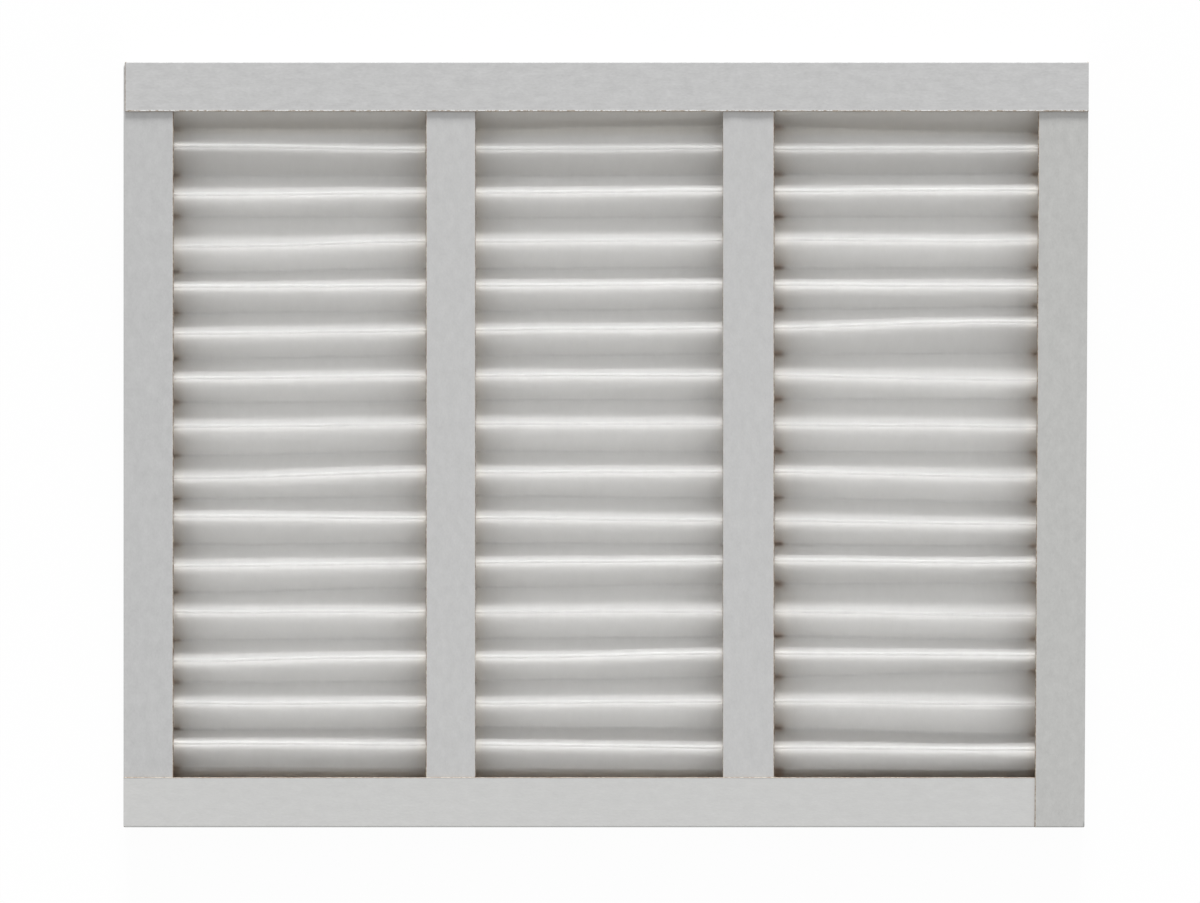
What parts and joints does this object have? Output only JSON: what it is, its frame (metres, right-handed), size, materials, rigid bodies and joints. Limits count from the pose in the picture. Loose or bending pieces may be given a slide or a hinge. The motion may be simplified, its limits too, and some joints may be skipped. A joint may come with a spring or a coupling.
{
  "type": "pleated panel air filter",
  "caption": "Flat rectangular air filter: a pleated sheet of nonwoven media held in a wrapped paperboard channel frame, with paperboard straps across the pleats on both faces.",
  "frame": {"origin": "middle of the rear face, in the plane on which the filter lies", "axes": "+X along the longer sides and along the pleats, +Y along the shorter sides towards the rail whose lips lap over both uprights, +Z through the depth, out of the front face"},
  "size_m": [0.4952, 0.3938, 0.0191],
  "materials": {
    "frame_board": "pale grey coated paperboard, matt, with a brown core at its cut edges",
    "strap_board": "pale grey coated paperboard, matt, with a brown core at its cut edges",
    "media": "off-white nonwoven filter sheet, matt, slightly see-through against light"
  },
  "bodies": {
    "root": {"frame": "frame_board", "pleated_media": "media", "front_strap_left": "strap_board", "front_strap_right": "strap_board", "rear_strap_left": "strap_board", "rear_strap_right": "strap_board"}
  },
  "joints": []
}
